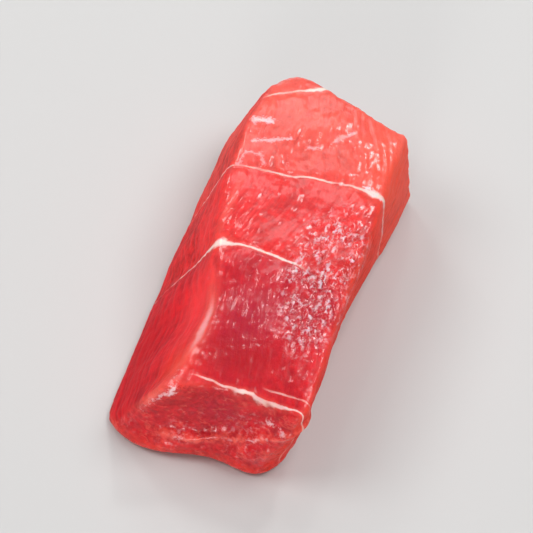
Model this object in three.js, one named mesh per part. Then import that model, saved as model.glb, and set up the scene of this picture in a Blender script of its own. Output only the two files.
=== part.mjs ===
// A raw tuna offcut: one bar of deep red loin, knife-cut on every side and lying on its flat underside.
// Millimetres, +Z up. The bar runs along Y, from its near end at -Y to its bevelled far end at +Y.
// The origin is the middle of the bar's box, on the surface that it lies on.
//
// The bar starts as a rounded block. Seven cross sections lean, taper and bend that block into the cut
// shape, knife strokes shave four of its corners, and the muscle swells a little between its sinews.

import * as THREE from "three";
import { mergeVertices } from "three/addons/utils/BufferGeometryUtils.js";

// The block before it is bent: its mean sizes, which set the rounding of the edges.
const BLOCK = { width: 23, length: 59, height: 15.5 };


// Cross sections from the near end (along 0) to the far end (along 1). The feet are where the two sides
// meet the board, the ridges are where they meet the cut top, and the heights are those of the ridges.
const SECTIONS = [
  { along: 0.0, footLeft: -13.0, ridgeLeft: -4.9, ridgeRight: 14.6, footRight: 12.2, heightLeft: 13.3, heightRight: 13.4 },
  { along: 0.1, footLeft: -13.3, ridgeLeft: -2.9, ridgeRight: 14.7, footRight: 12.0, heightLeft: 14.2, heightRight: 14.1 },
  { along: 0.2, footLeft: -13.3, ridgeLeft: -2.0, ridgeRight: 14.6, footRight: 11.8, heightLeft: 14.8, heightRight: 14.6 },
  { along: 0.4, footLeft: -13.2, ridgeLeft: -5.4, ridgeRight: 14.3, footRight: 12.0, heightLeft: 15.4, heightRight: 15.1 },
  { along: 0.6, footLeft: -13.1, ridgeLeft: -7.6, ridgeRight: 14.1, footRight: 12.6, heightLeft: 15.6, heightRight: 15.2 },
  { along: 0.8, footLeft: -12.8, ridgeLeft: -7.7, ridgeRight: 13.6, footRight: 14.0, heightLeft: 15.5, heightRight: 15.0 },
  { along: 1.0, footLeft: -11.8, ridgeLeft: -7.0, ridgeRight: 13.2, footRight: 15.0, heightLeft: 15.2, heightRight: 14.4 },
];

// How much the faces swell or hollow between their edges.
const TOP_CROWN = 0.5;
const LEFT_SWELL = 0.3;
const RIGHT_SWELL = 0.5;

// The near end stands at foot on Y. Its top leans back, least at the left corner, and bows inwards. Low down
// a soft lip hangs out, which climbs to the right, and the foot has a notch in it.
const NEAR = { foot: -29.4, lean: 1.6, skew: 1.0, bow: 2.3 };
const NEAR_LIP = { reach: 0.9, left: 0.1, climb: 0.35, spread: 0.15 };
const NEAR_NOTCH = { depth: 1.3, across: 0.6, spread: 0.2 };

// The far end stands at right on Y. It sweeps back to the left, further at the top than at the foot, and
// its foot reaches out a little.
const FAR = { right: 25.0, flare: 1.0, topSweep: 7.7, footSweep: 5.9, curl: 1.6 };

// Radii of the edges: knife-sharp ones, ordinary ones, and the slack shoulder on the left ridge.
const EDGE = { knife: 0.8, plain: 1.2, shoulder: 1.9 };
const SHOULDER = { along: 0.2, spread: 0.16 };

// Knife strokes that shave corners: a point on the cut and the way that the cut faces.
const STROKES = [
  { name: "far left bevel", through: [-2.5, 26.2, 15.6], facing: [-0.157, 0.335, 0.928] },
  { name: "far left corner", through: [-5.7, 29.8, 13.9], facing: [-0.75, 0.63, 0.19] },
  { name: "near left corner", through: [-7.7, -30.3, 0], facing: [-0.516, -0.828, 0.22] },
  { name: "near right foot", through: [10.8, -27.5, 0], facing: [0.68, -0.71, -0.18] },
];
const STROKE_SOFTNESS = 0.045; // how blunt the new edges are, as a share of the distance from the heart

// The heart of the bar, a line along Y from which the whole surface can be seen.
const HEART = { x: 2, z: 7, reach: 18 };

// Sheets of sinew cross the bar. The muscle sinks a little at each and swells between them.
const SINEWS = [
  { y: 10.6, slope: 0.1 },
  { y: -3.6, slope: -0.04 },
  { y: -25.6, slope: -0.09 },
];
const SINEW_SINK = { depth: 0.25, spread: 1.9 };

// Slack waves over the cut faces, each with its height, its wavelength and the way it runs.
const WAVES = [
  { height: 0.16, length: 17, run: [0.8, 0.5, 0.3], phase: 0.4 },
  { height: 0.11, length: 11, run: [0.2, -0.9, 0.4], phase: 2.1 },
  { height: 0.07, length: 6.5, run: [-0.7, 0.6, 0.4], phase: 4.0 },
];
const FLAT_BELOW = 2.5; // the relief dies away towards the underside, over this height

// Steps of the surface grid: a few across each rounded edge, and the rest over the face between.
const EDGE_STEPS = 3;
const FACE_STEPS = { across: 14, along: 34, up: 8 };

const { clamp, lerp, smoothstep } = THREE.MathUtils;
const SECTION_KEYS = ["footLeft", "ridgeLeft", "ridgeRight", "footRight", "heightLeft", "heightRight"];
const sectionCurve = new THREE.CubicInterpolant(
  SECTIONS.map((section) => section.along),
  SECTIONS.flatMap((section) => SECTION_KEYS.map((key) => section[key])),
  SECTION_KEYS.length,
);

// The cross section at a share of the length, as an object with the same keys as SECTIONS.
function sectionAt(along) {
  const values = sectionCurve.evaluate(along);
  return Object.fromEntries(SECTION_KEYS.map((key, i) => [key, values[i]]));
}

const bell = (distance, spread) => Math.exp(-((distance / spread) ** 2));
const hump = (share) => 4 * share * (1 - share); // 0 at both edges of a face, 1 in its middle

// Grid lines along one side of the block, from -half to half, closer together over the rounded edges.
function gridLines(size, faceSteps) {
  const half = size / 2;
  const inner = half - EDGE.plain;
  const lines = [];
  for (let i = 0; i < EDGE_STEPS; i += 1) {
    lines.push(-half + (EDGE.plain * i) / EDGE_STEPS);
  }
  for (let i = 0; i <= faceSteps; i += 1) {
    lines.push(lerp(-inner, inner, i / faceSteps));
  }
  for (let i = 1; i <= EDGE_STEPS; i += 1) {
    lines.push(inner + (EDGE.plain * i) / EDGE_STEPS);
  }
  return lines;
}

// The radius of the nearest edge to a point of the block's surface.
function edgeRadius(point) {
  const onTop = smoothstep(point.z, 0, BLOCK.height / 2);
  const onLeft = smoothstep(-point.x, 0, BLOCK.width / 2);
  const along = point.y / BLOCK.length + 0.5;
  const slack = onTop * onLeft * bell(along - SHOULDER.along, SHOULDER.spread);
  return lerp(lerp(EDGE.plain, EDGE.knife, onTop), EDGE.shoulder, slack);
}

// Pulls a point of the sharp block in to the block with rounded edges.
function roundOff(point) {
  const radius = edgeRadius(point);
  const core = new THREE.Vector3(BLOCK.width, BLOCK.length, BLOCK.height).multiplyScalar(0.5).subScalar(radius);
  const nearest = point.clone().clamp(core.clone().negate(), core);
  return point.clone().sub(nearest).setLength(radius).add(nearest);
}

// Carries a point of the rounded block to its place in the leaning, bending bar.
function bend(point) {
  const across = point.x / BLOCK.width + 0.5;
  const along = point.y / BLOCK.length + 0.5;
  const up = point.z / BLOCK.height + 0.5;
  const { footLeft, ridgeLeft, ridgeRight, footRight, heightLeft, heightRight } = sectionAt(along);

  const left = lerp(footLeft, ridgeLeft, up) - LEFT_SWELL * hump(up);
  const right = lerp(footRight, ridgeRight, up) + RIGHT_SWELL * hump(up);
  const top = lerp(heightLeft, heightRight, across) + TOP_CROWN * hump(across);

  const lip = NEAR_LIP.reach * bell(up - NEAR_LIP.left - NEAR_LIP.climb * across ** 2, NEAR_LIP.spread);
  const notch = NEAR_NOTCH.depth * bell(across - NEAR_NOTCH.across, NEAR_NOTCH.spread) * (1 - up);
  const lean = NEAR.lean - NEAR.skew * (1 - across) + NEAR.bow * hump(across);
  const near = NEAR.foot + lean * up - lip + notch;
  const sweep = lerp(FAR.footSweep, FAR.topSweep, up) * (1 - across) ** FAR.curl;
  const far = FAR.right + FAR.flare * (1 - up) + sweep;
  return new THREE.Vector3(lerp(left, right, across), lerp(near, far, along), top * up);
}

// Draws a point in towards the heart, until no knife stroke passes between the two.
function shave(point) {
  const heart = new THREE.Vector3(HEART.x, clamp(point.y, -HEART.reach, HEART.reach), HEART.z);
  let closeness = Math.exp(-1 / STROKE_SOFTNESS);
  for (const { through, facing } of STROKES) {
    const normal = new THREE.Vector3(...facing).normalize();
    const room = new THREE.Vector3(...through).sub(heart).dot(normal);
    const reach = point.clone().sub(heart).dot(normal);
    if (reach > 0) closeness += Math.exp(-room / reach / STROKE_SOFTNESS);
  }
  return heart.lerp(point, -STROKE_SOFTNESS * Math.log(closeness));
}

// How far the surface stands out at a point: sunk at the sinews, and waved all over.
function relief(point) {
  let height = 0;
  for (const { y, slope } of SINEWS) {
    height -= SINEW_SINK.depth * bell(point.y - y - slope * point.x, SINEW_SINK.spread);
  }
  for (const wave of WAVES) {
    const travelled = new THREE.Vector3(...wave.run).normalize().dot(point);
    height += wave.height * Math.sin((2 * Math.PI * travelled) / wave.length + wave.phase);
  }
  return height * smoothstep(point.z, 0, FLAT_BELOW);
}

function offcutGeometry() {
  const lines = {
    x: gridLines(BLOCK.width, FACE_STEPS.across),
    y: gridLines(BLOCK.length, FACE_STEPS.along),
    z: gridLines(BLOCK.height, FACE_STEPS.up),
  };
  const steps = ["x", "y", "z"].map((axis) => lines[axis].length - 1);
  // A grid box whose corners count its own steps, so that each vertex names its three grid lines.
  const box = new THREE.BoxGeometry(...steps, ...steps);
  box.translate(steps[0] / 2, steps[1] / 2, steps[2] / 2);
  box.deleteAttribute("normal");
  box.deleteAttribute("uv");
  const geometry = mergeVertices(box);

  const position = geometry.getAttribute("position");
  for (let i = 0; i < position.count; i += 1) {
    const onBlock = new THREE.Vector3(
      lines.x[Math.round(position.getX(i))],
      lines.y[Math.round(position.getY(i))],
      lines.z[Math.round(position.getZ(i))],
    );
    const placed = shave(bend(roundOff(onBlock)));
    position.setXYZ(i, placed.x, placed.y, Math.max(placed.z, 0));
  }

  geometry.computeVertexNormals();
  const normal = geometry.getAttribute("normal");
  for (let i = 0; i < position.count; i += 1) {
    const point = new THREE.Vector3().fromBufferAttribute(position, i);
    const outward = new THREE.Vector3().fromBufferAttribute(normal, i);
    point.addScaledVector(outward, relief(point));
    position.setXYZ(i, point.x, point.y, Math.max(point.z, 0));
  }
  geometry.computeVertexNormals();
  return geometry;
}

// Wet raw loin: deep red, with a soft gloss.
const flesh = new THREE.MeshStandardMaterial({ color: 0xc3232e, roughness: 0.35, metalness: 0 });

const offcut = new THREE.Mesh(offcutGeometry(), flesh);
offcut.name = "tuna_offcut";
offcut.geometry.computeBoundingBox();
const middle = offcut.geometry.boundingBox.getCenter(new THREE.Vector3());
offcut.position.set(-middle.x, -middle.y, 0);

const part = new THREE.Group();
part.add(offcut);

export default part;
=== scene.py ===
"""The looks of a raw tuna offcut: wet, deep red muscle in long fibre bundles, crossed by white sinews.

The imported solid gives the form. A fine copy of it gets its relief from a Geometry Nodes tree, and its
colours and gloss from a shader. Both trees are written with the same functions, so grooves, sinews and
colours fall together. Lengths in the patterns are millimetres on the bar: x to the right, y along it to
the far end, z up.
"""

import math
from functools import reduce
from typing import NamedTuple

import bmesh
import bpy
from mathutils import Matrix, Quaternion, Vector


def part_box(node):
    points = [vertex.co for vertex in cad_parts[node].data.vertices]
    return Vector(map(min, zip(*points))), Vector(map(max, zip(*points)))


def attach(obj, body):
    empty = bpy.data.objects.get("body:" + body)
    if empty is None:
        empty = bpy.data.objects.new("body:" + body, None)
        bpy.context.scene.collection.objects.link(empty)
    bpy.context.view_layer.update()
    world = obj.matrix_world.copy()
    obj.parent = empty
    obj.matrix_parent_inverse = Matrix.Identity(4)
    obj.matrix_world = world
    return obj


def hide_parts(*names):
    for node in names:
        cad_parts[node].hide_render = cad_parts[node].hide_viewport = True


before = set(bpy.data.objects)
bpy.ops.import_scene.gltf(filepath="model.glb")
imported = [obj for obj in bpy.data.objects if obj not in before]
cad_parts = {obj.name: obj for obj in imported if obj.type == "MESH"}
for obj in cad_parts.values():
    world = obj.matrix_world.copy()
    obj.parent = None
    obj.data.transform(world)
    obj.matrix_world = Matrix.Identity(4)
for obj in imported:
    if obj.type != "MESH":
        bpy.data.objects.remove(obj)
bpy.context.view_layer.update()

NODE = "tuna_offcut"
LOW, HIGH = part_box(NODE)
MIDDLE = (LOW + HIGH) / 2

MM = 0.001

# The seed of every pattern, and how far one step of it moves them.
SEED = 11
SEED_STEP = (17.3, 9.1, 5.7)

# The fine copy of the solid. Corners nearer to each other than MERGE_WITHIN, in metres, are one corner.
MERGE_WITHIN = 1e-6
MESH_STEP = 0.25
SOFTENING_STEPS = 3

# Its relief. It is left out at the foot, where the bar lies flat.
RELIEF = {
    "Sinew height": 0.05,
    "Sinew furrow": 0.10,
    "Strand depth": 0.13,
    "Dimple depth": 0.09,
    "Swell height": 0.20,
    "Bundle end depth": 0.18,
    "Lip height": 0.50,
    "Grit height": 0.24,
}
FLAT_BELOW = 1.6
SWELL_WIDTH = 6.0
DIMPLE_WIDTH = 1.3

# How far a point stands out from its surroundings, smoothed by so many steps, where a crest begins and
# where it is full.
CREST_STEPS = 22
CREST_REACH = (0.02, 0.24)

# How much of the normal lies along the bar, or across it, where an end or a side begins and is full.
END_REACH = (0.45, 0.75)
SIDE_REACH = (0.35, 0.75)

# How the muscle is laid: strands of fibres this wide, and this many times as long as wide. They slant at
# first by this much of x for each y, and turn at the first two sinews. They wander by up to WANDER over
# WANDER_LENGTH.
STRAND_WIDTH = 0.8
STRAND_STRETCH = 9.0
FINE_STRAND_WIDTH = 0.25
FIRST_SLANT = 0.10
FLAKE_TURNS = (0.40, -0.35)
WANDER_LENGTH = 16.0
WANDER = (7.0, 9.0, 5.0)
BUNDLE_WIDTH = 1.3
GRAIN_WIDTH = 0.6
GRAIN_SQUASH = (1.0, 0.5, 1.0)
THREAD_SPACING = 2.2
THREAD_GROUP_WIDTH = 1.7
THREAD_LEAN = (0.8, 1.0, 1.4)

# How wide the changes of tone and gloss are.
CLOUD_WIDTH = 7.0
TORN_WIDTH = 3.0
GLOSS_WIDTH = 1.2
MOTTLE_WIDTH = 1.1
FLECK_GROUP_WIDTH = 1.0
SPECKLE_WIDTH = 0.6
FINEST_GRAIN_WIDTH = 0.35


class Sinew(NamedTuple):
    """A sheet of sinew. On the top it runs along y = at + slope * x + bend * x * x."""

    at: float
    slope: float
    bend: float
    white: float  # how white it is, of 1
    width: float  # half its width on the top
    start: float  # where it starts and stops on x
    stop: float
    foot: float  # how far down the sides it shows in full, on z
    lean: float = 0.0  # how far it shifts along y for each millimetre down
    knot: float = 0.0  # where on x it is thickest,
    knot_spread: float = 1.0  # over this far either way,
    knot_width: float = 0.0  # and how much wider it is there


SINEWS = (
    Sinew(at=10.7, slope=0.13, bend=-0.004, white=0.8, width=0.15, start=-14.5, stop=13.5, foot=8.0,
          lean=0.05, knot=11.3, knot_spread=1.3, knot_width=0.40),
    Sinew(at=-3.8, slope=-0.06, bend=-0.008, white=0.9, width=0.16, start=-14.5, stop=6.0, foot=6.0,
          lean=-0.14, knot=-5.8, knot_spread=1.4, knot_width=0.50),
    Sinew(at=-25.6, slope=-0.04, bend=-0.005, white=0.75, width=0.13, start=-2.0, stop=14.5, foot=11.0,
          knot=4.5, knot_spread=1.5, knot_width=0.10),
    Sinew(at=-24.4, slope=-0.05, bend=0.0, white=0.5, width=0.12, start=7.5, stop=13.5, foot=12.0),
    # The last sheet runs along the crease of the far bevel: partly sinew, partly a painted edge highlight.
    Sinew(at=27.9, slope=0.42, bend=-0.017, white=0.65, width=0.20, start=-8.0, stop=2.0, foot=12.0,
          lean=0.1, knot=-2.0, knot_spread=2.5, knot_width=0.10),
)

# How the sinews sway: over this length, by this much in all. How wide the changes are in their width, and
# the gaps in their white.
SINEW_SWAY = (4.5, 1.4)
RAGGED_WIDTH = 0.8
BROKEN_WIDTH = 2.2

# Where a sinew fades: on x from its start and its stop, across it in widths, and on z from its foot. Below
# its foot, LOW_DOWN of its white is left.
TIP_FADE = (-1.0, 1.0)
ACROSS_FADE = (0.4, 1.6)
FOOT_FADE = (-3.0, 1.0)
LOW_DOWN = 0.40

# The furrow that a sinew lies in, and the pink beside it, in widths of the sinew.
FURROW_WIDTHS = 4.0
HALO_WIDTHS = 3.0

# The tone changes within this far of a sinew, and this many times as gradually past the sinew's end. That
# sets in from a little before the end to a little after it.
FLAKE_EDGE = 0.3
GRADUAL = 10.0
END_OF_SINEW = (-2.0, 3.0)


class Streak(NamedTuple):
    """A short pale streak, from one place to another: pale marks and sinew on the top, painted highlights on
    the near end. It is seen from one side only.
    """

    start: tuple
    end: tuple
    width: float  # half its width
    white: float
    through: int = 2  # the axis that it goes into the meat along


STREAKS = (
    Streak((-8.0, 18.4, 15.4), (-5.7, 18.9, 15.6), 0.42, 0.9),
    Streak((-7.2, 14.4, 15.5), (-2.2, 16.8, 15.6), 0.30, 0.6),
    Streak((-7.6, 9.8, 15.4), (-7.8, 12.0, 15.4), 0.26, 0.4),
    Streak((-7.6, 12.3, 15.4), (-5.4, 12.9, 15.5), 0.26, 0.4),
    Streak((-5.1, 12.7, 15.5), (-4.2, 10.8, 15.5), 0.22, 0.3),
    Streak((3.6, 18.6, 15.3), (5.4, 21.0, 15.3), 0.30, 0.45),
    Streak((0.6, 16.2, 15.4), (2.0, 16.5, 15.4), 0.25, 0.45),
    Streak((9.9, 12.2, 15.0), (12.5, 11.4, 14.6), 0.30, 1.0),
    Streak((4.9, -4.4, 15.1), (5.7, -7.0, 15.0), 0.22, 0.6),
    # These last ones, on the near end, are painted highlights: a spot at the near left corner and a line
    # down the edge below it, two spots on the right, and strokes along the lip.
    Streak((-4.4, -28.0, 13.0), (-4.7, -28.6, 12.0), 0.40, 1.0, through=1),
    Streak((-5.4, -29.3, 12.0), (-8.6, -31.0, 6.5), 0.30, 0.9, through=1),
    Streak((9.0, -26.9, 10.3), (9.3, -26.8, 10.2), 0.40, 0.8, through=1),
    Streak((10.8, -27.3, 9.9), (11.3, -27.2, 9.8), 0.34, 0.7, through=1),
    Streak((-3.4, -30.2, 3.8), (-2.2, -30.0, 4.1), 0.20, 0.6, through=1),
    Streak((0.6, -29.5, 4.8), (3.8, -29.0, 5.2), 0.12, 0.35, through=1),
    Streak((6.4, -28.0, 6.3), (8.2, -27.0, 7.4), 0.18, 0.5, through=1),
)

# How the streaks sway: over this length, by this much in all. How wide the changes in their width are, and
# how many times that width a streak is gone at.
STREAK_SWAY = (1.8, 1.8)
STREAK_RAGGED_WIDTH = 0.5
STREAK_GONE = 1.8

# Along the axis that a streak goes in by, only this share of a distance counts.
SHALLOW = 0.25

# Where the look changes over the bar, as the middle and the reach of soft patches.
GRITTY = ((9.0, -5.0, 15.5), (4.6, 11.5, 5.0))
# Purple: a dull purple tone of the flesh, partly painted lilac sheen.
PURPLE = (
    ((1.8, -15.0, 15.0), (5.0, 9.5, 4.0)),
    ((2.2, -28.5, 9.0), (3.4, 3.0, 2.6)),
)
# Darker patches: one on the near top's low middle, and one low on the left side, which is painted shade.
DARKER_AND_SHADED = (
    ((3.0, -21.0, 14.0), (5.5, 3.5, 3.5)),
    ((-11.0, -18.0, 3.5), (4.0, 10.0, 4.0)),
)
# Painted light: the upper left side, along the ridge, painted a brighter red.
PAINTED_LIGHT_PATCHES = (
    ((-6.4, -13.0, 12.3), (2.4, 8.0, 3.2)),
    ((-8.2, 2.0, 12.0), (2.0, 6.0, 3.5)),
)
# Painted glow: orange at the near left and the far right corners, as if light shone through thin meat.
PAINTED_GLOW_PATCHES = (
    ((-5.2, -23.8, 12.3), (3.0, 3.8, 3.0)),
    ((11.5, 18.0, 14.0), (4.5, 7.0, 5.0)),
)
# Painted highlights on the edges: their crests are painted pale everywhere, and most of all here.
PAINTED_EDGE_HIGHLIGHTS = (
    ((-4.0, -17.0, 13.5), (3.5, 8.0, 3.0)),
    ((-7.0, -30.0, 9.5), (3.0, 3.0, 4.0)),
    ((12.0, 21.5, 14.5), (2.5, 3.5, 2.0)),
)

# Where the flesh grows pale towards the far end, on y, partly its own bloom and partly painted sheen; where
# the
#  painted orange glow comes in towards the right, on x; and where the painted glow at its foot ends, on z.
BLOOM_REACH = (4.0, 22.0)
RIGHT_REACH = (2.0, 10.0)
FOOT_REACH = (1.0, 3.5)

# The low ridge across the near end: z = at + slope * x + bend * x * x, half its width, and how it sways.
# It fades out over these stretches of y and of x.
LIP_AT, LIP_SLOPE, LIP_BEND = 4.4, 0.2, 0.02
LIP_SPREAD = 0.7
LIP_SWAY = (3.0, 1.5)
LIP_NEARER_THAN = (-25.0, -23.0)
LIP_FROM = (-8.0, -4.0)


class Ridge(NamedTuple):
    """A stretch of the left ridge, with a painted highlight along it. It runs along x = at + bend * (y -
    middle) ** 2.
    """

    at: float
    bend: float
    middle: float
    reach: float  # how far it goes on either side of its middle
    spread: float  # half its width
    bright: float


RIDGES = (
    Ridge(at=-3.7, bend=-0.022, middle=-17.5, reach=7.0, spread=0.75, bright=1.0),
    Ridge(at=-6.6, bend=-0.005, middle=3.0, reach=5.0, spread=0.6, bright=0.6),
)
RIDGE_SWAY = (4.0, 1.2)
RIDGE_ABOVE = (8.0, 12.0)

# Colours, as linear light.
DEEP_RED = (0.40, 0.002, 0.007, 1)
BRIGHT_RED = (0.88, 0.018, 0.025, 1)
# Dull purple: the flesh's darker tone, partly painted lilac sheen.
PURPLE_TONE_AND_SHEEN = (0.43, 0.008, 0.032, 1)
PINK = (0.96, 0.16, 0.115, 1)
# Painted light, on the upper left side.
PAINTED_LIGHT_RED = (0.98, 0.055, 0.060, 1)
# Painted glow, as if light shone through thin meat.
PAINTED_GLOW_ORANGE = (0.95, 0.060, 0.022, 1)
# Painted highlights, on the edges and the left ridges.
EDGE_HIGHLIGHT_PAINT = (0.96, 0.18, 0.14, 1)
SINEW_WHITE = (0.95, 0.73, 0.68, 1)
# Pale flecks and streaks, also used for painted glints and highlights.
FLECK = (0.95, 0.66, 0.70, 1)
# Painted glints.
PAINTED_GLINT = (0.94, 0.80, 0.89, 1)
FLOOR = (0.58, 0.575, 0.57, 1)

# The table that the bar lies on, in metres, and how matt it is.
FLOOR_SIZE = 3.0
FLOOR_ROUGHNESS = 0.6


class Softbox(NamedTuple):
    """A square studio light. Its place is in degrees and metres from the piece, its power in watts."""

    name: str
    azimuth: float
    elevation: float
    distance: float
    size: float
    power: float


SOFTBOXES = (
    Softbox("key_softbox", 115, 60, 0.60, 0.28, 1.8),
    Softbox("left_softbox", 285, 50, 0.60, 0.30, 1.35),
    Softbox("front_fill", 5, 12, 0.80, 0.22, 2.2),
    Softbox("front_glint", 8, 4, 0.60, 0.05, 0.18),
    Softbox("back_sheen", 195, 40, 0.60, 0.20, 0.34),
    Softbox("ridge_light", 225, 34, 0.60, 0.14, 0.5),
    Softbox("right_glint", 168, 50, 0.65, 0.07, 0.5),
    Softbox("back_glint", 206, 58, 0.65, 0.05, 0.15),
)
ROOM_LIGHT = 0.22

# The camera, where the photograph's own camera stood for this piece. Degrees, metres, and the lens in mm.
AZIMUTH, ELEVATION, ROLL = 12.7, 50.6, 6.4
DISTANCE = 0.709
LENS = 350.0
NEAREST, FARTHEST = 0.01, 10.0


class Value:
    """A node's output in an expression. Working with it adds the Math nodes that do the work."""

    def __init__(self, maker, socket):
        self.maker = maker
        self.socket = socket

    def math(self, operation, *others):
        return self.maker.node("ShaderNodeMath", {"operation": operation}, dict(enumerate((self, *others))))

    def __add__(self, other):
        return self.math("ADD", other)

    def __mul__(self, other):
        return self.math("MULTIPLY", other)

    def __sub__(self, other):
        return self.math("SUBTRACT", other)

    def __rsub__(self, other):
        return self * -1 + other

    def __truediv__(self, other):
        return self.math("DIVIDE", other)

    def __pow__(self, other):
        return self.math("POWER", other)

    def __abs__(self):
        return self.math("ABSOLUTE")

    __radd__ = __add__
    __rmul__ = __mul__

    def bell(self, spread):
        """1 where the value is 0, and next to nothing beyond twice the spread."""
        return ((self / spread) ** 2 * -1).math("EXPONENT")

    def rise(self, low, high):
        """0 below low, 1 above high, and smooth between."""
        inputs = {"Value": self, "From Min": low, "From Max": high}
        return self.maker.node("ShaderNodeMapRange", {"interpolation_type": "SMOOTHSTEP"}, inputs)


class Maker:
    """Adds nodes to one tree and hands their outputs back for use in expressions."""

    def __init__(self, tree):
        self.tree = tree

    def node(self, kind, settings=None, inputs=None, output=0):
        made = self.tree.nodes.new(kind)
        for name, value in (settings or {}).items():
            setattr(made, name, value)
        for key, value in (inputs or {}).items():
            if isinstance(value, Value):
                self.tree.links.new(value.socket, made.inputs[key])
            else:
                made.inputs[key].default_value = value
        return Value(self, made.outputs[output]) if made.outputs else None

    def vector(self, x, y, z):
        return self.node("ShaderNodeCombineXYZ", inputs={"X": x, "Y": y, "Z": z})

    def parts(self, vector):
        split = self.node("ShaderNodeSeparateXYZ", inputs={"Vector": vector}).socket.node
        return [Value(self, socket) for socket in split.outputs]

    def vector_math(self, operation, *vectors, output=0):
        return self.node("ShaderNodeVectorMath", {"operation": operation}, dict(enumerate(vectors)), output)

    def scaled(self, vector, scale):
        return self.node("ShaderNodeVectorMath", {"operation": "SCALE"}, {"Vector": vector, "Scale": scale})

    def noise(self, place, size, detail=2.0, roughness=0.5, output="Fac"):
        inputs = {"Vector": place, "Scale": 1 / size, "Detail": detail, "Roughness": roughness}
        return self.node("ShaderNodeTexNoise", inputs=inputs, output=output)

    def cells(self, place, size):
        inputs = {"Vector": place, "Scale": 1 / size}
        return self.node("ShaderNodeTexVoronoi", inputs=inputs, output="Distance")

    def attribute(self, name):
        return self.node("ShaderNodeAttribute", {"attribute_name": name}, output="Fac")

    def mix(self, share, a, b):
        return self.node("ShaderNodeMix", {"data_type": "RGBA"}, {0: share, 6: a, 7: b}, 2)


def strongest(values):
    """At each point, the largest of several values."""
    return reduce(lambda a, b: a.math("MAXIMUM", b), values)


def sown(maker, place, seed):
    """The place moved by the seed, so that another seed gives another piece of the same kind."""
    return maker.vector_math("ADD", place, maker.vector(*(seed * step for step in SEED_STEP)))


def sway(maker, place, seed, length, swing):
    """A soft swing to and fro, over a length and by so much in all."""
    return (maker.noise(sown(maker, place, seed), length) - 0.5) * swing


def swayed(maker, place, course, length, swings, detail=1.0, roughness=0.5):
    """The place swung to and fro on each axis. The course is the place that the swing is read at."""
    swing = maker.noise(course, length, detail, roughness, output="Color")
    swing = maker.vector_math("SUBTRACT", swing, (0.5, 0.5, 0.5))
    return maker.vector_math("ADD", place, maker.vector_math("MULTIPLY", swing, swings))


def patch(maker, place, middle, reach):
    """1 in the middle of a soft patch, falling off over its reach."""
    away = maker.vector_math("SUBTRACT", place, middle)
    away = maker.vector_math("DIVIDE", away, reach)
    return maker.vector_math("LENGTH", away, output="Value").bell(1.0)


def patches(maker, place, spots):
    """Several soft patches together."""
    return strongest([patch(maker, place, *spot) for spot in spots])


def past_sinew(maker, place, sinew, seed):
    """How far the place lies past the sinew's sheet, towards the far end."""
    x, y, z = maker.parts(place)
    line = sinew.at + x * sinew.slope + x * x * sinew.bend + (HIGH.z / MM - z) * sinew.lean
    return y - line + sway(maker, place, seed, *SINEW_SWAY)


def beyond(maker, place, sinew, seed):
    """1 on the far side of the sinew, 0 on its near side. Past the sinew's end the change is gradual."""
    past_end = maker.parts(place)[0] - sinew.stop
    gradual = past_end.rise(*END_OF_SINEW) * (GRADUAL - 1) + 1
    return (past_sinew(maker, place, sinew, seed) / gradual).rise(-FLAKE_EDGE, FLAKE_EDGE)


def along_fibres(maker, place, seed):
    """The place pressed together along the fibres. They slant another way in each flake, and wander."""
    x, y, z = maker.parts(place)
    turns = [beyond(maker, place, sinew, seed) * turn for sinew, turn in zip(SINEWS, FLAKE_TURNS)]
    slanted = maker.vector(x + (sum(turns) + FIRST_SLANT) * y, y, z)
    moved = sown(maker, slanted, seed)
    wandering = swayed(maker, moved, moved, WANDER_LENGTH, WANDER)
    return maker.vector_math("MULTIPLY", wandering, (1.0, 1 / STRAND_STRETCH, 1.0))


def sinew_lines(maker, place, seed, widths=1.0):
    """How white with sinew the surface is, 0 off it. Wider, it gives what lies beside the sinews."""
    x, _, z = maker.parts(place)
    moved = sown(maker, place, seed)
    ragged = maker.noise(moved, RAGGED_WIDTH) * 1.6 + 0.2
    broken = maker.noise(moved, BROKEN_WIDTH).rise(0.30, 0.60) * 0.65 + 0.35
    lines = []
    for sinew in SINEWS:
        knot = (x - sinew.knot).bell(sinew.knot_spread)
        width = (knot * sinew.knot_width + sinew.width) * ragged * widths
        across = abs(past_sinew(maker, place, sinew, seed)) / width
        shown = ((x - sinew.start).rise(*TIP_FADE)
                 * (1 - (x - sinew.stop).rise(*TIP_FADE))
                 * ((z - sinew.foot).rise(*FOOT_FADE) * (1 - LOW_DOWN) + LOW_DOWN))
        white = broken * sinew.white * (1 - knot) + knot
        lines.append((1 - across.rise(*ACROSS_FADE)) * shown * white)
    return strongest(lines)


def streaks(maker, place, seed):
    """How white with short streaks the surface is."""
    moved = sown(maker, place, seed)
    length, swing = STREAK_SWAY
    place = swayed(maker, place, moved, length, (swing,) * 3, detail=3.0, roughness=0.6)
    ragged = maker.noise(moved, STREAK_RAGGED_WIDTH, 3.0, 0.7).rise(0.30, 0.75) * 1.4 + 0.4
    marks = []
    for streak in STREAKS:
        squash = [SHALLOW if axis == streak.through else 1.0 for axis in range(3)]
        course = [(b - a) * s for a, b, s in zip(streak.start, streak.end, squash)]
        away = maker.vector_math("SUBTRACT", place, streak.start)
        away = maker.vector_math("MULTIPLY", away, squash)
        along = maker.vector_math("DOT_PRODUCT", away, course, output="Value") / math.hypot(*course) ** 2
        along = along.math("MAXIMUM", 0.0).math("MINIMUM", 1.0)
        nearest = maker.scaled(course, along)
        off = maker.vector_math("DISTANCE", away, nearest, output="Value") / streak.width / ragged
        marks.append((1 - off.rise(0.0, STREAK_GONE)) * streak.white)
    return strongest(marks)


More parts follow.
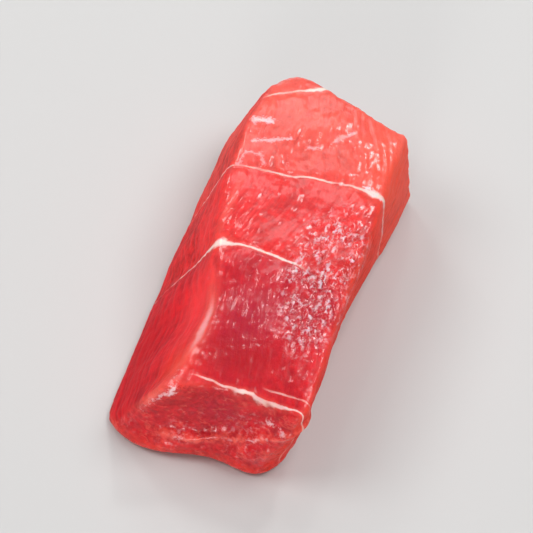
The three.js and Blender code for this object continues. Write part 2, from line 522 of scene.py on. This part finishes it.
def lip(maker, place, seed):
    """1 along the low ridge across the near end, where the knife left the meat."""
    x, y, z = maker.parts(place)
    line = x * LIP_SLOPE + x * x * LIP_BEND + LIP_AT
    return ((z - line + sway(maker, place, seed, *LIP_SWAY)).bell(LIP_SPREAD)
            * (1 - y.rise(*LIP_NEARER_THAN)) * x.rise(*LIP_FROM))


def grains(maker, place, seed):
    """Rounded ends of torn fibres: 1 at the top of each, 0 round it."""
    squat = maker.vector_math("MULTIPLY", sown(maker, place, seed), GRAIN_SQUASH)
    return maker.noise(squat, GRAIN_WIDTH, 2.0, 0.6).rise(0.46, 0.63)


def threads(maker, place, seed):
    """Thin, short, wavy threads between the bundles, where a cut goes across them."""
    moved = sown(maker, place, seed)
    leaning = maker.vector_math("MULTIPLY", moved, THREAD_LEAN)
    course = abs(maker.noise(leaning, THREAD_SPACING, 3.0, 0.6) - 0.5)
    return (1 - course.rise(0.0, 0.06)) * maker.noise(moved, THREAD_GROUP_WIDTH).rise(0.46, 0.60)


def painted_ridge_highlight(maker, place, seed):
    """A painted highlight: 1 along the left ridges, painted pale as if light shone through the thin meat
    there.
    """
    x, y, z = maker.parts(place)
    across = x + sway(maker, place, seed, *RIDGE_SWAY)
    glows = []
    for ridge in RIDGES:
        along = y - ridge.middle
        line = along * along * ridge.bend + ridge.at
        glows.append((across - line).bell(ridge.spread) * along.bell(ridge.reach) * ridge.bright)
    return strongest(glows) * z.rise(*RIDGE_ABOVE)


def gritty(maker, place, seed):
    """Where the cut has torn short fibre ends up, so that they glitter."""
    torn = maker.noise(sown(maker, place, seed + 1), TORN_WIDTH).rise(0.25, 0.55)
    return (patch(maker, place, *GRITTY) * 1.4).rise(0.15, 0.80) * torn


def relief_height(maker, place, sizes, seed, end):
    """How far the muscle stands out from the smooth bar, in mm."""
    fibres = along_fibres(maker, place, seed)
    moved = sown(maker, place, seed)
    furrow = sinew_lines(maker, place, seed, FURROW_WIDTHS)
    swell = maker.noise(moved, SWELL_WIDTH, 3.0) - 0.5
    strands = maker.noise(fibres, STRAND_WIDTH, 0.5) - 0.5
    dimples = maker.noise(moved, DIMPLE_WIDTH, 1.0) - 0.5
    height = (swell * sizes["Swell height"] * 2
              + strands * sizes["Strand depth"] * 2 * (1 - furrow)
              + dimples * sizes["Dimple depth"] * 2
              + sinew_lines(maker, place, seed) * sizes["Sinew height"]
              - furrow * sizes["Sinew furrow"]
              - maker.cells(fibres, BUNDLE_WIDTH) ** 2 * end * sizes["Bundle end depth"]
              + lip(maker, place, seed) * sizes["Lip height"]
              + grains(maker, place, seed) * gritty(maker, place, seed) * sizes["Grit height"])
    z = maker.parts(place)[2]
    return height * z.rise(0.0, FLAT_BELOW)


def blurred(maker, value, steps):
    """A vector on the mesh, evened out with its neighbours'."""
    return maker.node("GeometryNodeBlurAttribute", {"data_type": "FLOAT_VECTOR"},
                      {"Value": value, "Iterations": steps})


def relief_tree(material):
    """The Geometry Nodes tree that turns the smooth bar into muscle."""
    tree = bpy.data.node_groups.new("muscle_relief", "GeometryNodeTree")
    tree.interface.new_socket("Geometry", in_out="INPUT", socket_type="NodeSocketGeometry")
    for name in RELIEF:
        tree.interface.new_socket(name, in_out="INPUT", socket_type="NodeSocketFloat")
    tree.interface.new_socket("Seed", in_out="INPUT", socket_type="NodeSocketInt")
    tree.interface.new_socket("Geometry", in_out="OUTPUT", socket_type="NodeSocketGeometry")
    maker = Maker(tree)
    given = maker.node("NodeGroupInput").socket.node
    inputs = {socket.name: Value(maker, socket) for socket in given.outputs if socket.name}

    metres = maker.node("GeometryNodeInputPosition")
    place = maker.vector_math("MULTIPLY", metres, (1 / MM,) * 3)
    normal = maker.node("GeometryNodeInputNormal")
    across, along, _ = maker.parts(normal)
    stands_out = maker.vector_math("SUBTRACT", place, blurred(maker, place, CREST_STEPS))
    end = abs(along).rise(*END_REACH)
    marks = {
        "crest": maker.vector_math("DOT_PRODUCT", stands_out, normal, output="Value").rise(*CREST_REACH),
        "end": end,
        "side": abs(across).rise(*SIDE_REACH),
    }

    softened = {"Geometry": inputs["Geometry"], "Position": blurred(maker, metres, SOFTENING_STEPS)}
    shape = maker.node("GeometryNodeSetPosition", inputs=softened)
    for name, value in marks.items():
        shape = maker.node("GeometryNodeStoreNamedAttribute", {"data_type": "FLOAT", "domain": "POINT"},
                           {"Geometry": shape, "Name": name, "Value": value})
    height = relief_height(maker, place, inputs, inputs["Seed"], end)
    raised = {"Geometry": shape, "Offset": maker.scaled(normal, height * MM)}
    shape = maker.node("GeometryNodeSetPosition", inputs=raised)
    shape = maker.node("GeometryNodeRealizeInstances", inputs={"Geometry": shape})
    shape = maker.node("GeometryNodeSetMaterial", inputs={"Geometry": shape, "Material": material})
    maker.node("NodeGroupOutput", inputs={"Geometry": shape})
    return tree


class Flesh(NamedTuple):
    """What the shader knows of a point of the flesh. All but the places go from 0 to 1."""

    place: Value
    moved: Value  # the place, moved by the seed
    fibres: Value  # the place, pressed together along the fibres
    crest: Value  # how sharp an edge it is on
    end: Value  # how much it faces along the bar
    side: Value  # how much it faces across the bar
    clouds: Value
    mottle: Value
    strands: Value
    fine_strands: Value
    torn: Value
    flecks: Value


def flesh_point(maker):
    """Reads a point's place and marks, and the patterns that more than one part of the finish uses."""
    metres = maker.node("ShaderNodeTexCoord", output="Object")
    place = maker.vector_math("MULTIPLY", metres, (1 / MM,) * 3)
    moved = sown(maker, place, SEED)
    fibres = along_fibres(maker, place, SEED)
    torn = gritty(maker, place, SEED)
    return Flesh(
        place=place,
        moved=moved,
        fibres=fibres,
        crest=maker.attribute("crest"),
        end=maker.attribute("end"),
        side=maker.attribute("side"),
        clouds=maker.noise(moved, CLOUD_WIDTH, 3.0),
        mottle=maker.noise(moved, MOTTLE_WIDTH, 3.0, 0.6),
        strands=maker.noise(fibres, STRAND_WIDTH, 3.0, 0.6),
        fine_strands=maker.noise(fibres, FINE_STRAND_WIDTH, 2.0, 0.6),
        torn=torn,
        flecks=grains(maker, place, SEED) * torn * maker.noise(moved, FLECK_GROUP_WIDTH).rise(0.36, 0.56),
    )


def layered(maker, colour, layers):
    """A colour with others laid over it in turn, each as a share and a colour."""
    for share, tint in layers:
        colour = maker.mix(share, colour, tint)
    return colour


def red_of_muscle(maker, flesh, near_flake, purple):
    """The red of the meat: its tones and its dull purple middle, which is partly painted sheen, with darker
    patches, one of them painted shade, painted light, and a painted orange glow where light would come
    through.
    """
    x, _, z = maker.parts(flesh.place)
    mottle, strands, end, side = flesh.mottle, flesh.strands, flesh.end, flesh.side
    bundles = maker.noise(flesh.fibres, BUNDLE_WIDTH * 2, 1.0)
    tone = (flesh.clouds * 0.45 + strands * 0.4 + mottle * 0.5 + bundles * 0.3
            + (mottle - 0.5) * end * 0.3 + (strands - 0.5) * side * 0.7)
    return layered(maker, DEEP_RED, (
        (tone.rise(0.50, 1.10), BRIGHT_RED),
        # Painted orange glow: on the right side, at the two corners, and at the foot of the ends.
        (side * x.rise(*RIGHT_REACH) * (strands * 0.7 + 0.15), PAINTED_GLOW_ORANGE),
        (patches(maker, flesh.place, PAINTED_GLOW_PATCHES) * 0.75, PAINTED_GLOW_ORANGE),
        ((1 - z.rise(*FOOT_REACH)) * end * (mottle * 0.9 - 0.05), PAINTED_GLOW_ORANGE),
        # Dull purple over the near flake: partly the flesh's tone, partly painted lilac sheen.
        (near_flake * (purple * 0.75 + 0.2), PURPLE_TONE_AND_SHEEN),
        # Darker patches; the one low on the left side is painted shade.
        (patches(maker, flesh.place, DARKER_AND_SHADED) * 0.6, DEEP_RED),
        # Painted light on the upper left side.
        (patches(maker, flesh.place, PAINTED_LIGHT_PATCHES) * 0.8, PAINTED_LIGHT_RED),
        # Painted lilac tint of the glints where the flesh is torn.
        (flesh.torn * near_flake * 0.35, PURPLE_TONE_AND_SHEEN),
    ))


def bloom_and_painted_sheen(maker, flesh, near_flake):
    """How pale pink the flesh is: most in the far flake and towards the far end, least on the sides and the
    ends.
    It is partly the flesh's own bloom and partly painted sheen.
    """
    far_flake = beyond(maker, flesh.place, SINEWS[0], SEED)
    y = maker.parts(flesh.place)[1]
    bloom = y.rise(*BLOOM_REACH) * (flesh.clouds * 0.7 + 0.45)
    pale = far_flake * 0.20 + bloom * 0.45 + (1 - near_flake) * 0.07
    return (pale * (1 - flesh.side * 0.5) * (1 - flesh.end * 0.6)
            * (flesh.mottle * 1.1 + flesh.strands * 0.8 + 0.05))


def flesh_colour(maker, flesh):
    """Deep red muscle, pale with bloom and sheen, with threads, flecks and streaks, and sinews on top.
    Sheen, shade, glow and highlights are painted into it.
    """
    place = flesh.place
    near_flake = 1 - beyond(maker, place, SINEWS[1], SEED)
    purple = patches(maker, place, PURPLE) * (flesh.clouds.rise(0.25, 0.65) * 0.4 + 0.6)
    speckle = maker.noise(flesh.moved, SPECKLE_WIDTH).rise(0.50, 0.72) * flesh.clouds.rise(0.45, 0.65)
    ridge = lip(maker, place, SEED)
    glow = painted_ridge_highlight(maker, place, SEED)
    # Painted highlights on the crests of the edges.
    edge = flesh.crest * (patches(maker, place, PAINTED_EDGE_HIGHLIGHTS) * 0.75 + 0.25) * (flesh.strands * 0.9 + 0.45)
    halo = sinew_lines(maker, place, SEED, HALO_WIDTHS)
    return layered(maker, red_of_muscle(maker, flesh, near_flake, purple), (
        (bloom_and_painted_sheen(maker, flesh, near_flake), PINK),
        (flesh.fine_strands.rise(0.5, 0.8) * (0.12 - near_flake * 0.07), PINK),
        # Pale flecks on the ends, thickest along the lip: partly the flesh's own, partly painted glints.
        (speckle * flesh.end * (ridge * 0.4 + 0.2), FLECK),
        # Painted edge highlights and the painted ridge highlight, with a paler core.
        (edge, EDGE_HIGHLIGHT_PAINT),
        (glow * 0.7, EDGE_HIGHLIGHT_PAINT),
        (glow.rise(0.5, 1.0) * 0.35, FLECK),
        (threads(maker, place, SEED + 2) * flesh.end * 0.55, DEEP_RED),
        # Pale threads on the ends: partly tissue between the bundles, partly painted glints.
        (threads(maker, place, SEED) * flesh.end * (0.30 - purple * 0.15), PINK),
        # Painted highlight along the lip, and the pink beside the sinews.
        (ridge * (flesh.mottle.rise(0.35, 0.65) * 0.6 + 0.1) + halo * 0.22, PINK),
        # Painted glints on the torn fibre ends.
        (flesh.flecks * 0.65, PAINTED_GLINT),
        # Pale streaks; those on the near end are painted highlights.
        (streaks(maker, place, SEED), FLECK),
        (sinew_lines(maker, place, SEED), SINEW_WHITE),
    ))


def flesh_roughness(maker, flesh):
    """Smooth and wet on the top and the ends, most of all where the flesh is torn, and dull on the sides."""
    uneven = maker.noise(flesh.moved, GLOSS_WIDTH, 3.0) * 0.2 + 0.25
    return uneven * (1 - flesh.torn * 0.7) * (1 - flesh.end * 0.5) + flesh.side * 0.30


def wet_film(flesh):
    """How much juice stands on the surface. It runs off the sides."""
    return (1 - flesh.side) * (1 - flesh.end * 0.4) * (flesh.clouds.rise(0.2, 0.6) * 0.4 + 0.6)


def fine_grain(maker, flesh):
    """The normal, roughened by single fibres too fine for the mesh."""
    finest = maker.noise(flesh.moved, FINEST_GRAIN_WIDTH)
    grain = (flesh.strands * 0.10 + flesh.fine_strands * 0.06
             + finest * (flesh.torn * 0.30 + 0.05)
             + flesh.flecks * 0.10)
    return maker.node("ShaderNodeBump", inputs={"Strength": 0.9, "Distance": MM, "Height": grain})


def flesh_material():
    """Raw muscle: deep red and slightly see-through under a wet skin."""
    material = bpy.data.materials.new("raw_tuna_flesh")
    material.use_nodes = True
    material.node_tree.nodes.clear()
    maker = Maker(material.node_tree)
    flesh = flesh_point(maker)
    skin = maker.node("ShaderNodeBsdfPrincipled", {"subsurface_method": "RANDOM_WALK"}, {
        "Base Color": flesh_colour(maker, flesh),
        "Roughness": flesh_roughness(maker, flesh),
        "IOR": 1.34,
        "Subsurface Weight": 0.75,
        "Subsurface Radius": (1.0, 0.16, 0.09),
        "Subsurface Scale": 0.0017,
        "Specular IOR Level": 0.35,
        "Specular Tint": (1.0, 0.62, 0.62, 1.0),
        "Coat Weight": wet_film(flesh),
        "Coat IOR": 1.42,
        "Coat Roughness": 0.17,
        "Normal": fine_grain(maker, flesh),
    })
    maker.node("ShaderNodeOutputMaterial", inputs={"Surface": skin})
    return material


def merged_copy(mesh):
    """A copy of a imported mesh, with the corners that its faces share made one."""
    copy = mesh.copy()
    shape = bmesh.new()
    shape.from_mesh(copy)
    bmesh.ops.remove_doubles(shape, verts=shape.verts, dist=MERGE_WITHIN)
    shape.to_mesh(copy)
    shape.free()
    return copy


def flesh_piece(material):
    """The visible bar: a fine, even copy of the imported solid, with the muscle's relief worked in."""
    piece = bpy.data.objects.new("raw_tuna_flesh", merged_copy(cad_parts[NODE].data))
    bpy.context.scene.collection.objects.link(piece)
    even = piece.modifiers.new("even", "REMESH")
    even.mode = "VOXEL"
    even.voxel_size = MESH_STEP * MM
    even.use_smooth_shade = True
    relief = piece.modifiers.new("relief", "NODES")
    relief.node_group = relief_tree(material)
    values = {**RELIEF, "Seed": SEED}
    for item in relief.node_group.interface.items_tree:
        if item.name in values:
            relief[item.identifier] = values[item.name]
    depsgraph = bpy.context.evaluated_depsgraph_get()
    shaped = piece.evaluated_get(depsgraph)
    finished = bpy.data.meshes.new_from_object(shaped, preserve_all_data_layers=True, depsgraph=depsgraph)
    piece.modifiers.clear()
    piece.data = finished
    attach(piece, "root")
    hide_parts(NODE)


def floor():
    """A plain pale table."""
    bpy.ops.mesh.primitive_plane_add(size=FLOOR_SIZE, location=(0, 0, LOW.z))
    table = bpy.context.object
    table.name = "floor"
    material = bpy.data.materials.new("pale_floor")
    material.use_nodes = True
    skin = material.node_tree.nodes["Principled BSDF"]
    skin.inputs["Base Color"].default_value = FLOOR
    skin.inputs["Roughness"].default_value = FLOOR_ROUGHNESS
    table.data.materials.append(material)


def around(azimuth, elevation):
    """The direction from the piece to a place round it: azimuth 0 is at its near end, 90 at its right."""
    turn, height = math.radians(azimuth), math.radians(elevation)
    level = math.cos(height)
    return Vector((math.sin(turn) * level, -math.cos(turn) * level, math.sin(height)))


def aimed(name, data, azimuth, elevation, distance, roll=0.0):
    """A light or a camera, set up at a place round the piece and facing its middle."""
    away = around(azimuth, elevation)
    holder = bpy.data.objects.new(name, data)
    holder.location = MIDDLE + away * distance
    holder.rotation_mode = "QUATERNION"
    holder.rotation_quaternion = away.to_track_quat("Z", "Y") @ Quaternion((0, 0, 1), math.radians(roll))
    bpy.context.scene.collection.objects.link(holder)
    return holder


def studio():
    """Softboxes round the piece, in a dim, even room."""
    for softbox in SOFTBOXES:
        light = bpy.data.lights.new(softbox.name, "AREA")
        light.size = softbox.size
        light.energy = softbox.power
        aimed(softbox.name, light, softbox.azimuth, softbox.elevation, softbox.distance)
    room = bpy.data.worlds.new("studio")
    bpy.context.scene.world = room
    room.use_nodes = True
    background = room.node_tree.nodes["Background"]
    background.inputs["Color"].default_value = (1, 1, 1, 1)
    background.inputs["Strength"].default_value = ROOM_LIGHT
    bpy.context.scene.view_settings.view_transform = "Standard"


def camera():
    """The camera that the final picture is taken with."""
    data = bpy.data.cameras.new("camera")
    data.lens = LENS
    data.clip_start, data.clip_end = NEAREST, FARTHEST
    bpy.context.scene.camera = aimed("camera", data, AZIMUTH, ELEVATION, DISTANCE, ROLL)


flesh_piece(flesh_material())
floor()
studio()
camera()
